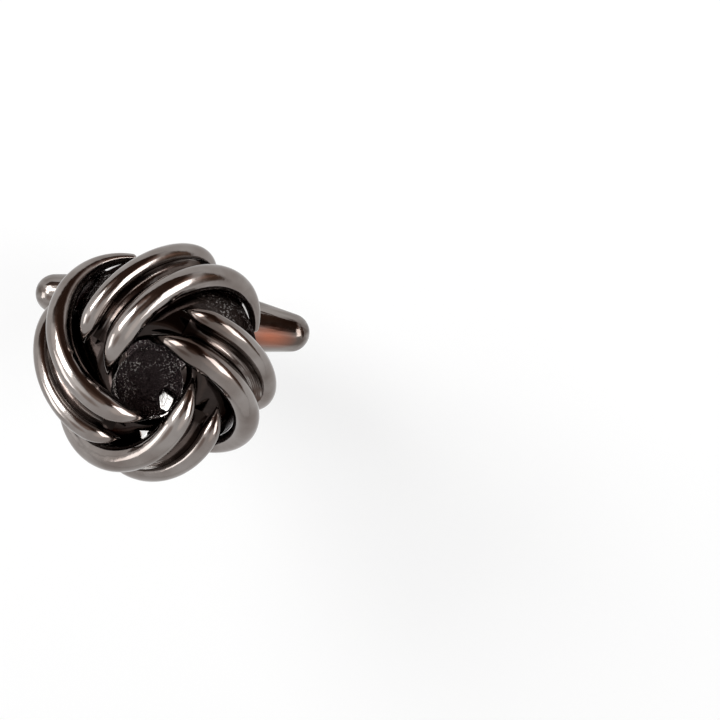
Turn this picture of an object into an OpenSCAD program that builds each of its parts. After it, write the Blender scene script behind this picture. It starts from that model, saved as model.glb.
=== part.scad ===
// Knot cufflink with a swivelling bullet toggle.
// +Z is the post axis and points from the cuff to the knot's face.
// The origin is the centre of the back plate's rear face, which lies on the cuff.
// At rest the toggle lies along X and its hinge pin along Y.

/* [Knot] */
// Width of the knot across its outer lobes
knot_w = 15.6; // [14.8:0.1:17]
// Height of the knot above the face that lies on the cuff
knot_h = 9.6; // [9.2:0.1:10.5]
// Thickness of an inner strand at its fullest
inner_strand_d = 1.68; // [1.5:0.02:1.8]
// Thickness of an outer strand at its fullest
outer_strand_d = 1.3; // [1.1:0.02:1.5]
// Drop of an inner strand's tip towards the well
inner_dip = 0.7; // [0.4:0.05:0.9]
// Drop of an outer strand's tip
outer_dip = 0.5; // [0.3:0.05:0.7]
// Distance that an outer strand's tail tucks in under the neighbouring pair
outer_tuck = 0.5; // [0.3:0.05:0.6]

/* [Core] */
// Radius of the open middle inside the lip, which the four inner tips point at
throat_r = 2.15; // [2:0.05:2.4]
// Height above the cuff face of the deck inside the lip
deck_z = 6; // [5.6:0.1:6.3]
// Radius of the well's rim
well_rim_r = 2.1; // [1.9:0.05:2.2]
// Offset of the well from the post's axis along X
well_off_x = -0.13; // [-0.3:0.01:0.1]
// Offset of the well from the post's axis along Y
well_off_y = -1.05; // [-1.2:0.05:0]
// Width of the bevel round the well's rim
rim_bevel = 0.12; // [0.05:0.01:0.2]
// Height of the straight wall under the rim
rim_h = 0.4; // [0.2:0.05:0.6]
// Radius of the chamber under the rim
well_r = 2.8; // [2.4:0.05:3]
// Height of the rough floor of the well above the cuff face
well_floor_z = 3.3; // [3:0.1:4]
// Radius of the rounded lip between the dome and the well
lip_r = 0.9; // [0.6:0.05:1.1]
// Height of the centre of the core's dome above the cuff face
dome_z = 1.85; // [1.6:0.05:2.1]
// Height below which the foot of the dome leans in
foot_top_z = 3.2; // [2.8:0.1:3.6]

/* [Back plate] */
// Distance that the back plate stands in from the core's widest circle
plate_inset = 0.27; // [0.1:0.01:0.4]
// Thickness of the back plate
plate_t = 1; // [0.8:0.05:1.3]
// Chamfer round the back plate's rear edge
plate_chamfer = 0.3; // [0.1:0.05:0.5]

/* [Post frame] */
// Distance from the cuff face down to the toggle's hinge axis
post_len = 10.4; // [10.2:0.1:13]
// Gap between the two legs, which the toggle folds into
leg_gap = 4.4; // [4.2:0.1:4.8]
// Thickness of each leg and of the strap that joins them
leg_t = 0.75; // [0.6:0.05:1]
// Width of a leg where it leaves the back plate
leg_w = 4.4; // [3.8:0.1:4.8]
// Width of a leg at its waist
waist_w = 2.6; // [2:0.1:3.2]
// Radius of the rounded ear at the end of a leg
ear_r = 2.2; // [1.9:0.05:2.4]
// Diameter of the rivet that holds the strap to the back plate
rivet_d = 1.2; // [1:0.05:1.5]
// Diameter of the rivet's head
rivet_head_d = 2.2; // [1.9:0.05:2.6]
// Thickness of the rivet's head
rivet_head_t = 0.4; // [0.3:0.05:0.5]

/* [Toggle] */
// Length of the toggle from nose to nose
toggle_len = 19.4; // [18:0.1:19.8]
// Diameter of the toggle at its middle
toggle_d = 4.92; // [4.6:0.02:5.2]
// Radius of the rounded nose at each end
nose_r = 1.36; // [1.1:0.02:1.5]
// Angle of the taper behind the nose
taper_deg = 9.8; // [8.6:0.1:10.6]
// Room in the cavity past the open end of the spring
cavity_room = 0.37; // [0.2:0.01:0.6]
// Width of the cavity between the toggle's side walls
cavity_w = 2.4; // [2.1:0.05:2.6]
// Height of the cavity
cavity_h = 2.4; // [2.2:0.05:2.7]
// Wall between the cavity and each locating peg
peg_wall = 1.35; // [1:0.05:1.6]
// Diameter of a locating peg
peg_d = 0.7; // [0.5:0.05:0.9]
// Length of a locating peg
peg_len = 0.7; // [0.5:0.05:0.9]

/* [Hinge pin and spring] */
// Diameter of the round ends of the hinge pin
pin_d = 1.5; // [1.3:0.02:1.6]
// Width across the flats of the square middle of the pin
pin_flats = 1.04; // [0.8:0.02:1.08]
// Diameter of the pin's riveted heads
pin_head_d = 2.2; // [1.9:0.05:2.6]
// Height of the pin's riveted heads
pin_head_h = 0.4; // [0.3:0.02:0.5]
// Gap between the square of the pin and the toggle's side walls
pin_shoulder = 0.05; // [0.03:0.01:0.1]
// Thickness of the detent spring's strip
spring_t = 0.2; // [0.12:0.02:0.26]
// Width of the detent spring's strip
spring_w = 1.9; // [1.4:0.1:2]
// Length of the straight part of each spring arm
spring_arm = 7.6; // [6.8:0.1:7.8]
// Length of the flared end of each spring arm
spring_flare = 1.4; // [1:0.1:1.5]

/* [Fits] */
// Running clearance round the hinge pin
pin_fit = 0.03; // [0.02:0.01:0.06]
// Clearance between the toggle's flats and the legs
side_fit = 0.1; // [0.06:0.02:0.2]
// Clearance of pieces that seat on one another
seat_fit = 0.03; // [0.02:0.01:0.06]

/* [Hidden] */

// The knot has four pairs of strands, a quarter turn apart
quarter = 90;
// Overrun of every cut past the face that it opens
over = 1;
// Facets of round pieces
$fn = 96;

// Rings along a strand and points round each ring
strand_rings = 38;
strand_sides = 16;
// Sampled points of a strand path where the core is fitted under it
fit_steps = 90;

// Reach of the strand centrelines, which the plan shares below follow
reach = (knot_w - outer_strand_d) / 2;

// Plan of an inner strand: a turned ellipse off the axis, as shares of the reach
inner_centre_share = [-0.139, 0.226];
inner_long_share = 0.773;
inner_short_share = 0.558;
inner_turn = -22.7;
inner_from = -82;
inner_to = -258;
inner_peak = -102;
// Taper of an inner strand: end thickness and length of each taper
inner_tip_share = 0.11;
inner_tip_len_share = 0.19;
inner_tail_share = 0.34;
inner_tail_len_share = 0.52;

// Plan of an outer strand
outer_centre_share = [-0.39, -0.07];
outer_long_share = 0.67;
outer_short_share = 0.483;
outer_turn = -32.8;
outer_from = -79.5;
outer_to = -232;
outer_peak = -93;
// Taper of an outer strand
outer_tip_share = 0.13;
outer_tip_len_share = 0.17;
outer_tail_share = 0.4;
outer_tail_len_share = 0.3;

// Heights of the strand centrelines
inner_tail_r = inner_strand_d / 2 * inner_tail_share;
strand_top_z = knot_h - inner_strand_d / 2;
strand_low_z = plate_t + inner_tail_r + seat_fit;
strand_span = strand_top_z - strand_low_z;
inner_rise = strand_span / (1 - cos(inner_to - inner_peak));
inner_mid_z = strand_top_z - inner_rise;
// The outer strands crest a little lower, as a share of the inner strands' span
outer_top_share = 0.895;
outer_top_z = strand_low_z + strand_span * outer_top_share;
outer_tail_r = outer_strand_d / 2 * outer_tail_share;
outer_end_z = plate_t + outer_tail_r + seat_fit;
outer_rise = (outer_top_z - outer_end_z) / (1 - cos(outer_to - outer_peak));
outer_mid_z = outer_top_z - outer_rise;
// The tips of the strands bend down to the core
tip_dip_len_share = 0.26;
// The tails of the outer strands tuck in over this share of their sweep
tuck_len_share = 0.2;

// One strand kind: plan, heights, thickness and tapers
INNER = [inner_centre_share * reach, inner_long_share * reach, inner_short_share * reach,
         inner_turn, inner_from, inner_to, inner_mid_z, inner_rise, inner_peak,
         inner_strand_d / 2, inner_tip_share, inner_tip_len_share,
         inner_tail_share, inner_tail_len_share, inner_dip, 0];
OUTER = [outer_centre_share * reach, outer_long_share * reach, outer_short_share * reach,
         outer_turn, outer_from, outer_to, outer_mid_z, outer_rise, outer_peak,
         outer_strand_d / 2, outer_tip_share, outer_tip_len_share,
         outer_tail_share, outer_tail_len_share, outer_dip, outer_tuck];

// Drop of the centreline near the tip, u running from 0 at the tip to 1 at the tail
function dip(k, u) = k[14] * pow(max(0, 1 - u / tip_dip_len_share), 2);

// Pull of the centreline towards the axis near the tail
function tuck(k, u) = k[15] * pow(max(0, 1 - (1 - u) / tuck_len_share), 2);

// Centreline point of strand kind k at the share u of its sweep
function strand_point(k, u) =
    let (a = k[4] + (k[5] - k[4]) * u,
         ex = k[1] * cos(a - k[3]),
         ey = k[2] * sin(a - k[3]),
         x = k[0].x + ex * cos(k[3]) - ey * sin(k[3]),
         y = k[0].y + ex * sin(k[3]) + ey * cos(k[3]),
         pull = 1 - tuck(k, u) / norm([x, y]))
    [x * pull, y * pull, k[6] + k[7] * cos(a - k[8]) - dip(k, u)];

// Radius of the strand there, drawn in at the tip and along the tail
function taper(u, end_share, len_share) =
    end_share + (1 - end_share) * sin(quarter * min(1, u / len_share));
function strand_radius(k, u) =
    k[9] * min(taper(u, k[10], k[11]), taper(1 - u, k[12], k[13]));

// Share of the sweep at ring i: rings crowd towards both ends
end_crowd_share = 0.12;
slope_share = 0.5;
function ring_share(i) =
    let (s = i / (strand_rings - 1)) s - sin(4 * quarter * s) * end_crowd_share;

function unit(v) = v / norm(v);
// Direction of the centreline there
function strand_along(k, u) =
    unit(strand_point(k, u + slope_share / strand_rings)
         - strand_point(k, u - slope_share / strand_rings));

// Points of ring i, square to the centreline
function ring_points(k, i) =
    let (u = ring_share(i),
         c = strand_point(k, u),
         along = strand_along(k, u),
         side = unit(cross(along, [0, 0, 1])),
         up = cross(side, along),
         r = strand_radius(k, u))
    [for (j = [0 : strand_sides - 1])
        let (w = 4 * quarter * j / strand_sides)
        c + side * (r * cos(w)) + up * (r * sin(w))];

// Closed body through planar rings that all have the same number of points
module loft(rings) {
    m = len(rings[0]);
    last = (len(rings) - 1) * m;
    walls = [for (i = [0 : len(rings) - 2]) for (j = [0 : m - 1])
        let (a = i * m + j, b = i * m + (j + 1) % m)
        each [[a, b, b + m], [a, b + m, a + m]]];
    first_cap = [for (j = [m - 1 : -1 : 0]) j];
    last_cap = [for (j = [0 : m - 1]) last + j];
    polyhedron([for (ring = rings) each ring], concat(walls, [first_cap, last_cap]));
}

module strand(k, copy) {
    color("#5c5652") rotate([0, 0, -quarter * (copy - 1)])
        loft([for (i = [0 : strand_rings - 1]) ring_points(k, i)]);
}

// Web between the two strands of a pair, from beside their tips to the flank,
// placed by the outer strand's sweep; the inner strand runs beside it
web_rings = 22;
web_from_share = 0.05;
web_to_share = 0.84;
inner_beside_share = [0.06, 0.7];
// Section of the web: place across the gap, and height over the line between the
// two strands' centres as a share of the outer strand's radius
web_section_share = [[0, 0.12], [0.14, -0.25], [0.34, -0.45], [0.66, -0.45],
                     [0.86, -0.25], [1, 0.12], [1, -0.75], [0, -0.75]];

function web_points(i) =
    let (u = web_from_share + (web_to_share - web_from_share) * i / (web_rings - 1),
         v = inner_beside_share[0] + inner_beside_share[1] * u,
         a = strand_point(INNER, v),
         b = strand_point(OUTER, u),
         across = unit(b - a),
         along = unit(strand_along(INNER, v) + strand_along(OUTER, u)),
         up = unit(cross(along, across)),
         near = strand_radius(INNER, v) + seat_fit,
         gap = norm(b - a) - near - strand_radius(OUTER, u) - seat_fit)
    [for (q = web_section_share)
        a + across * (near + gap * q[0]) + up * (q[1] * strand_radius(OUTER, u))];

module pair_web(copy) {
    color("#3a3533") rotate([0, 0, -quarter * (copy - 1)])
        loft([for (i = [0 : web_rings - 1]) web_points(i)]);
}

// Circles that the strands leave in the half plane through the axis: [r, z, radius]
function half_plane(k) =
    [for (i = [0 : fit_steps])
        let (u = i / fit_steps, p = strand_point(k, u))
        [norm([p.x, p.y]), p.z, strand_radius(k, u)]];
CIRCLES = concat(half_plane(INNER), half_plane(OUTER));

// The dome is the largest ball about its centre that stays clear of the strands.
// Their tips lie over its lip, and under their tails its foot leans in to the plate
lip_centre_r = throat_r + lip_r;
dome_r = min([for (c = CIRCLES) if (c[1] > foot_top_z && c[0] > lip_centre_r)
    norm([c[0], c[1] - dome_z]) - c[2]]) - seat_fit;
foot_lean = 20;
foot_reach = min([for (c = CIRCLES) if (c[1] <= foot_top_z)
    c[0] * cos(foot_lean) - c[1] * sin(foot_lean) - c[2]]) - seat_fit;
foot_r = (foot_reach + plate_t * sin(foot_lean)) / cos(foot_lean);
// The core is widest where its foot meets the ball, or at the ball if the foot lies outside
// it, and the plate follows that circle
foot_off = foot_reach + dome_z * sin(foot_lean);
core_r = foot_off < dome_r
    ? foot_off * cos(foot_lean)
        + sqrt(dome_r * dome_r - foot_off * foot_off) * sin(foot_lean)
    : dome_r;
plate_r = core_r - plate_inset;

// Two balls of the core swell out into each loop of the knot. Their places are shares
// of the reach and the height, and each is as large as the strands round it allow
lobe_place_share = [[0.039, 0.446, 0.312], [-0.579, 0.485, 0.188]];
function lobe_centre(share) = [share.x * reach, share.y * reach, share.z * knot_h];
function turned(p, copy) =
    let (a = -quarter * (copy - 1)) [p.x * cos(a) - p.y * sin(a), p.x * sin(a) + p.y * cos(a), p.z];
function lobe_r(c) = min([for (k = [INNER, OUTER], copy = [1 : 4], i = [0 : fit_steps])
    let (u = i / fit_steps)
    norm(turned(strand_point(k, u), copy) - c) - strand_radius(k, u)]) - seat_fit;

// The lip's arc touches the ball outside and the wall of the throat inside
lip_lean = asin(lip_centre_r / (dome_r - lip_r));
// The lip swells by this much past the ball, so that their arcs cross and don't just touch
lip_swell = 0.004;
lip_centre_z = dome_z + (dome_r - lip_r) * cos(lip_lean);
// The rough well lies beside the axis and opens out to a chamber under its rim
rim_low_z = deck_z - rim_bevel - rim_h;
chamber_slope_share = 0.6;
chamber_z = rim_low_z - (well_r - well_rim_r) * chamber_slope_share;
lip_top_z = lip_centre_z + lip_r + over;

// Post frame: the strap lies on the back plate and the legs pass through slots
frame_w = leg_gap + 2 * leg_t;
strap_z = plate_t;
strap_top_z = strap_z + leg_t;
waist_place_share = 0.46;
waist_z = -post_len * waist_place_share;
waist_len_share = 0.34;
waist_half_len = post_len * waist_len_share;
waist_in = (leg_w - waist_w) / 2;
waist_r = (waist_half_len * waist_half_len + waist_in * waist_in) / (2 * waist_in);
// Bend radius at the outside corners of the strap
bend_r = leg_t;
// Countersink depth of the rivet at the cuff face
rivet_sink = plate_t / 2;

// Toggle: the nose arc runs into a straight taper and then a long ogive
toggle_half = toggle_len / 2;
toggle_r = toggle_d / 2;
flat_y = leg_gap / 2 - side_fit;
nose_touch = nose_r * (1 - sin(taper_deg));
nose_touch_r = nose_r * cos(taper_deg);
// The ogive arc ends the taper where its fall from the middle meets the cone
ogive_run = 2 * (toggle_r - nose_touch_r - (toggle_half - nose_touch) * tan(taper_deg))
    / (2 * tan(taper_deg / 2) - 2 * tan(taper_deg));
ogive_r = ogive_run / sin(taper_deg);
ogive_end_r = toggle_r - ogive_r * (1 - cos(taper_deg));
nose_end_x = toggle_half - nose_touch;

// Pin and spring: the arms clear the corners of the pin's square, and the cavity
// is as long as the spring with its room
square_half = cavity_w / 2 - pin_shoulder;
spring_gap = norm([pin_flats / 2, pin_flats / 2]) + pin_fit;
spring_bend_r = spring_gap + spring_t;
cavity_len = 2 * seat_fit + spring_bend_r + spring_arm + spring_flare + cavity_room;
spring_x = -cavity_len / 2 + seat_fit + spring_bend_r;
cavity_half_h = cavity_h / 2;
peg_x = (cavity_len + peg_d) / 2 + peg_wall;

// Half section of the dome, without the well
module dome_section() {
    far = 2 * dome_r;
    difference() {
        intersection() {
            translate([0, dome_z]) circle(r = dome_r);
            polygon([[0, plate_t], [foot_r, plate_t],
                     [foot_r + far * tan(foot_lean), plate_t + far], [0, plate_t + far]]);
        }
        polygon([[-over, lip_centre_z], [lip_centre_r, lip_centre_z],
                 [lip_centre_r + far * sin(lip_lean), lip_centre_z + far * cos(lip_lean)],
                 [-over, lip_centre_z + far]]);
    }
    translate([lip_centre_r, lip_centre_z]) circle(r = lip_r + lip_swell);
}

// The core's swellings in the four loops, cut off at the plate
module core_lobes() {
    intersection() {
        for (copy = [1 : 4], share = lobe_place_share)
            rotate([0, 0, -quarter * (copy - 1)])
                translate(lobe_centre(share)) sphere(r = lobe_r(lobe_centre(share)));
        translate([0, 0, plate_t]) cylinder(r = knot_w, h = knot_h);
    }
}

// Throat inside the lip, down to the deck, and the well with its bevelled rim
module core_hollow() {
    translate([0, 0, deck_z]) cylinder(r = throat_r, h = lip_top_z - deck_z);
    translate([well_off_x, well_off_y, 0]) rotate_extrude() polygon([
        [0, well_floor_z], [well_r, well_floor_z], [well_r, chamber_z],
        [well_rim_r, rim_low_z], [well_rim_r, deck_z - rim_bevel],
        [well_rim_r + rim_bevel, deck_z], [well_rim_r + rim_bevel, lip_top_z],
        [0, lip_top_z]]);
}

module knot_core() {
    color("#2b2826") difference() {
        union() {
            rotate_extrude() dome_section();
            core_lobes();
        }
        core_hollow();
        // Pocket under the core for the frame's strap and the rivet's head
        translate([0, 0, strap_z + (leg_t + seat_fit - over) / 2])
            cube([leg_w + 2 * seat_fit, frame_w + 2 * seat_fit, leg_t + seat_fit + over],
                 center = true);
        translate([0, 0, strap_top_z])
            cylinder(d = rivet_head_d + 2 * seat_fit, h = rivet_head_t + seat_fit);
    }
}

module back_plate() {
    color("#6a635e") difference() {
        rotate_extrude() polygon([
            [0, 0], [plate_r - plate_chamfer, 0], [plate_r, plate_chamfer],
            [plate_r, plate_t], [0, plate_t]]);
        // Slots for the legs
        for (s = [-1, 1])
            translate([0, s * (leg_gap + leg_t) / 2, plate_t / 2])
                cube([leg_w + 2 * seat_fit, leg_t + 2 * seat_fit, plate_t + 2 * over],
                     center = true);
        // Rivet hole, countersunk at the cuff face
        translate([0, 0, -over]) cylinder(d = rivet_d + 2 * seat_fit, h = plate_t + 2 * over);
        cylinder(d1 = rivet_head_d, d2 = rivet_d, h = rivet_sink);
    }
}

// Side view of the frame in X and Z
module frame_outline() {
    difference() {
        translate([-leg_w / 2, -post_len]) square([leg_w, post_len + strap_top_z]);
        for (s = [-1, 1])
            translate([s * (waist_w / 2 + waist_r), waist_z]) circle(r = waist_r);
        // The ears are round, so the square corners beside them go
        translate([-leg_w, -post_len - over]) square([2 * leg_w, over]);
    }
    translate([0, -post_len]) circle(r = ear_r);
}

// End view of the frame in Y and Z: a U with bent corners at the strap
module frame_bend() {
    difference() {
        union() {
            translate([-frame_w / 2, -post_len - ear_r])
                square([frame_w, post_len + ear_r + strap_top_z - bend_r]);
            translate([-frame_w / 2 + bend_r, -post_len])
                square([frame_w - 2 * bend_r, post_len + strap_top_z]);
            for (s = [-1, 1])
                translate([s * (frame_w / 2 - bend_r), strap_top_z - bend_r])
                    circle(r = bend_r);
        }
        translate([-leg_gap / 2, -post_len - ear_r - over])
            square([leg_gap, post_len + ear_r + over + strap_z]);
    }
}

module post_frame() {
    color("#746c66") difference() {
        intersection() {
            translate([0, frame_w / 2, 0]) rotate([quarter, 0, 0])
                linear_extrude(frame_w) frame_outline();
            translate([-leg_w, 0, 0]) rotate([quarter, 0, quarter])
                linear_extrude(2 * leg_w) frame_bend();
        }
        translate([0, frame_w / 2 + over, -post_len]) rotate([quarter, 0, 0])
            cylinder(d = pin_d + 2 * seat_fit, h = frame_w + 2 * over);
        translate([0, 0, strap_z - over])
            cylinder(d = rivet_d + 2 * seat_fit, h = leg_t + 2 * over);
    }
}

module frame_rivet() {
    color("#8a827b") {
        cylinder(d = rivet_d, h = strap_top_z + rivet_head_t / 2);
        cylinder(d1 = rivet_head_d - 2 * seat_fit, d2 = rivet_d - 2 * seat_fit, h = rivet_sink);
        translate([0, 0, strap_top_z]) cylinder(d = rivet_head_d, h = rivet_head_t);
    }
}

module hinge_pin() {
    color("#8a827b") translate([0, 0, -post_len]) {
        cube([pin_flats, 2 * square_half, pin_flats], center = true);
        for (s = [-1, 1])
            translate([0, s * square_half, 0]) rotate([-s * quarter, 0, 0]) {
                cylinder(d = pin_d, h = frame_w / 2 - square_half + pin_head_h / 2);
                translate([0, 0, frame_w / 2 - square_half]) pin_head();
            }
    }
}

// Low domed head, a slice of a ball
module pin_head() {
    ball_r = (pin_head_d * pin_head_d / 4 + pin_head_h * pin_head_h) / (2 * pin_head_h);
    intersection() {
        translate([0, 0, pin_head_h - ball_r]) sphere(r = ball_r);
        cylinder(d = pin_head_d, h = pin_head_h);
    }
}

// Half section of one end of the bullet: an ogive arc, a straight taper and a round nose
module ogive_section() {
    intersection() {
        translate([toggle_r - ogive_r, 0]) circle(r = ogive_r, $fn = 4 * $fn);
        square([toggle_r, ogive_run]);
    }
    polygon([[0, ogive_run], [ogive_end_r, ogive_run],
             [nose_touch_r, nose_end_x], [0, nose_end_x]]);
    intersection() {
        translate([0, toggle_half - nose_r]) circle(r = nose_r);
        translate([0, nose_end_x]) square([nose_r, nose_r]);
    }
}

// Whole bullet about X: two ogive ends cut flat where it turns between the legs
module bullet() {
    difference() {
        intersection() {
            for (s = [0, 1]) mirror([s, 0, 0])
                rotate([0, quarter, 0]) rotate_extrude() ogive_section();
            cube([toggle_len + over, 2 * flat_y, toggle_d + over], center = true);
        }
        cube([cavity_len, cavity_w, cavity_h], center = true);
        translate([0, flat_y + over, 0]) rotate([quarter, 0, 0])
            cylinder(d = pin_d + 2 * pin_fit, h = 2 * (flat_y + over));
    }
}

module half_space(up) {
    translate([-toggle_len, -toggle_d, up > 0 ? 0 : -toggle_d])
        cube([2 * toggle_len, 2 * toggle_d, toggle_d]);
}

module toggle_shell_upper() {
    color("#5c5652") translate([0, 0, -post_len]) {
        intersection() {
            bullet();
            half_space(1);
        }
        // Locating pegs
        for (s = [-1, 1])
            translate([s * peg_x, 0, -peg_len]) cylinder(d = peg_d, h = peg_len + peg_d);
    }
}

module toggle_shell_lower() {
    color("#5c5652") translate([0, 0, -post_len]) difference() {
        intersection() {
            bullet();
            half_space(-1);
        }
        for (s = [-1, 1])
            translate([s * peg_x, 0, -peg_len - seat_fit])
                cylinder(d = peg_d + 2 * seat_fit, h = peg_len + seat_fit + over);
    }
}

// Side view of the spring: a U whose arms pass the pin and flare to the cavity walls
module spring_outline() {
    inside_r = spring_bend_r - spring_t;
    difference() {
        translate([spring_x, 0]) circle(r = spring_bend_r);
        translate([spring_x, 0]) circle(r = inside_r);
        translate([spring_x, -spring_bend_r - over])
            square([spring_bend_r + over, 2 * (spring_bend_r + over)]);
    }
    for (s = [0, 1]) mirror([0, s]) {
        translate([spring_x, inside_r]) square([spring_arm, spring_t]);
        polygon([
            [spring_x + spring_arm, inside_r],
            [spring_x + spring_arm + spring_flare, cavity_half_h - seat_fit - spring_t],
            [spring_x + spring_arm + spring_flare, cavity_half_h - seat_fit],
            [spring_x + spring_arm, spring_bend_r]]);
    }
}

module detent_spring() {
    color("#b9b4ad") translate([0, spring_w / 2, -post_len]) rotate([quarter, 0, 0])
        linear_extrude(spring_w) spring_outline();
}

strand(INNER, 1);  // inner_strand_1
strand(INNER, 2);  // inner_strand_2
strand(INNER, 3);  // inner_strand_3
strand(INNER, 4);  // inner_strand_4
strand(OUTER, 1);  // outer_strand_1
strand(OUTER, 2);  // outer_strand_2
strand(OUTER, 3);  // outer_strand_3
strand(OUTER, 4);  // outer_strand_4
pair_web(1);  // pair_web_1
pair_web(2);  // pair_web_2
pair_web(3);  // pair_web_3
pair_web(4);  // pair_web_4
knot_core();
back_plate();
post_frame();
frame_rivet();
hinge_pin();
toggle_shell_upper();
toggle_shell_lower();
detent_spring();
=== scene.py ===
"""Looks of a gunmetal knot cufflink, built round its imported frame.

Sizes are in millimetres, as in the part's source, and MM turns them to metres.
"""

import math
from collections import namedtuple

import bmesh
import bpy
from mathutils import Matrix, Vector, noise


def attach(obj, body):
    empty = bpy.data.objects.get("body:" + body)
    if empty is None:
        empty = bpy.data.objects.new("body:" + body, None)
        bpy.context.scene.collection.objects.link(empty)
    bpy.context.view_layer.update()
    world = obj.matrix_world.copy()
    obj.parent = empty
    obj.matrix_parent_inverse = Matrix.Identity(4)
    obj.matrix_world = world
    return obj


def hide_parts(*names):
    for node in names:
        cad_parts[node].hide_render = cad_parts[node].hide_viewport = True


MM = 0.001
KNOT = "knot_side"
TOGGLE = "toggle"

# Sizes of the part, as in its source
KNOT_W, KNOT_H = 15.6, 9.6
INNER_D, OUTER_D = 1.68, 1.3
INNER_DIP, OUTER_DIP, OUTER_TUCK = 0.7, 0.5, 0.5
THROAT_R, DECK_Z, WELL_AT = 2.15, 6.0, (-0.13, -1.05, 0)
WELL_RIM_R, RIM_BEVEL, RIM_H, WELL_R, WELL_FLOOR_Z = 2.1, 0.12, 0.4, 2.8, 3.3
LIP_R, DOME_Z, FOOT_TOP_Z, FOOT_LEAN = 0.9, 1.85, 3.2, math.radians(20)
PLATE_T, SEAT = 1.0, 0.03
POST_LEN, LEG_GAP, LEG_T, LEG_W = 10.4, 4.4, 0.75, 4.4
RIVET_HEAD_D, RIVET_HEAD_T = 2.2, 0.4
TOGGLE_LEN, TOGGLE_D, NOSE_R, TAPER = 19.4, 4.92, 1.36, math.radians(9.8)
CAVITY = (10.395, 2.4, 2.4)
PEG_X, PEG_D, PEG_LEN = 6.898, 0.7, 0.7
PIN_D, PIN_FIT, SIDE_FIT = 1.5, 0.03, 0.1
REACH = (KNOT_W - OUTER_D) / 2
# Balls of the core in each loop, as shares of the reach and the height
LOBES = ((0.039, 0.446, 0.312), (-0.579, 0.485, 0.188))
COPIES = (1, 2, 3, 4)

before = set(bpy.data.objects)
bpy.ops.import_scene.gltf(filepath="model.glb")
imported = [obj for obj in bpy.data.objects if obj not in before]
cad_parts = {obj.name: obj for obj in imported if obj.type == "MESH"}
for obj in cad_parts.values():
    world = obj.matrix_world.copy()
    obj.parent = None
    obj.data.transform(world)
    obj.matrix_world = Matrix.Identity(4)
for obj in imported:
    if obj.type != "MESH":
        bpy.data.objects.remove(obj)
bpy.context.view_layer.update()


# ---------------------------------------------------------------- mesh tools

def spread(start, end, count):
    """count values from start to end, both included."""
    return [start + (end - start) * i / (count - 1) for i in range(count)]


def full_turn(steps):
    """Angles of a circle in equal steps."""
    return [2 * math.pi * j / steps for j in range(steps)]


def arc(centre, radius, start, end, count):
    """Points of an arc in the half plane [r, z], angles from the r axis."""
    return [(centre[0] + radius * math.cos(w), centre[1] + radius * math.sin(w))
            for w in spread(start, end, count)]


def line(start, end, step):
    """Points from start to end about step apart, the end left out."""
    count = max(1, round(math.dist(start, end) / step))
    return [(start[0] + (end[0] - start[0]) * i / count,
             start[1] + (end[1] - start[1]) * i / count) for i in range(count)]


def sides_of(corners):
    """Each side of a closed outline, as its two ends."""
    return zip(corners, corners[1:] + corners[:1])


def smooth(work, sharp_deg):
    """Smooth faces, with the edges that turn by more than sharp_deg kept crisp."""
    for face in work.faces:
        face.smooth = True
    if sharp_deg is None:
        return
    for edge in work.edges:
        if len(edge.link_faces) == 2:
            edge.smooth = edge.calc_face_angle(0) < math.radians(sharp_deg)


def mesh_piece(name, points, faces, sharp_deg=None):
    """Object from points in mm, welded and smooth, with edges over sharp_deg kept crisp."""
    mesh = bpy.data.meshes.new(name)
    mesh.from_pydata([Vector(p) * MM for p in points], [], faces)
    work = bmesh.new()
    work.from_mesh(mesh)
    bmesh.ops.remove_doubles(work, verts=work.verts, dist=0.0005 * MM)
    bmesh.ops.recalc_face_normals(work, faces=work.faces)
    smooth(work, sharp_deg)
    work.to_mesh(mesh)
    work.free()
    piece = bpy.data.objects.new(name, mesh)
    bpy.context.scene.collection.objects.link(piece)
    return piece


def tube_faces(rings, sides, closed_ends=True):
    """Faces of a tube whose points are stored ring by ring."""
    faces = [
        (i * sides + j, i * sides + (j + 1) % sides,
         (i + 1) * sides + (j + 1) % sides, (i + 1) * sides + j)
        for i in range(rings - 1) for j in range(sides)
    ]
    if closed_ends:
        faces.append(tuple(reversed(range(sides))))
        faces.append(tuple(range((rings - 1) * sides, rings * sides)))
    return faces


def box_piece(name, centre, size):
    """Plain box, used only to cut with."""
    signs = [(x, y, z) for x in (-1, 1) for y in (-1, 1) for z in (-1, 1)]
    points = [[c + s * d / 2 for c, s, d in zip(centre, sign, size)] for sign in signs]
    faces = [(0, 1, 3, 2), (4, 6, 7, 5), (0, 4, 5, 1), (2, 3, 7, 6), (0, 2, 6, 4), (1, 5, 7, 3)]
    return mesh_piece(name, points, faces)


def rod_piece(name, start, end, radius, sides=64):
    """Plain rod between two points."""
    start, end = Vector(start), Vector(end)
    along = (end - start).normalized()
    side = along.orthogonal().normalized()
    up = along.cross(side)
    points = [at + (side * math.cos(w) + up * math.sin(w)) * radius
              for at in (start, end) for w in full_turn(sides)]
    return mesh_piece(name, points, tube_faces(2, sides))


def ball_piece(name, centre, radius, rings=48, sides=96, pole_gap=0.02):
    """Ball, used only to join to another piece."""
    points = [
        Vector(centre) + radius * Vector((
            math.cos(w) * math.cos(a), math.cos(w) * math.sin(a), math.sin(w)))
        for w in spread(-math.pi / 2 + pole_gap, math.pi / 2 - pole_gap, rings)
        for a in full_turn(sides)
    ]
    return mesh_piece(name, points, tube_faces(rings, sides))


def turned_solid(name, outline, at=(0, 0, 0), segments=360):
    """Solid of revolution about an upright axis."""
    points = [(at[0] + r * math.cos(w), at[1] + r * math.sin(w), at[2] + z)
              for r, z in outline for w in full_turn(segments)]
    return mesh_piece(name, points, tube_faces(len(outline), segments, closed_ends=False))


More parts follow.
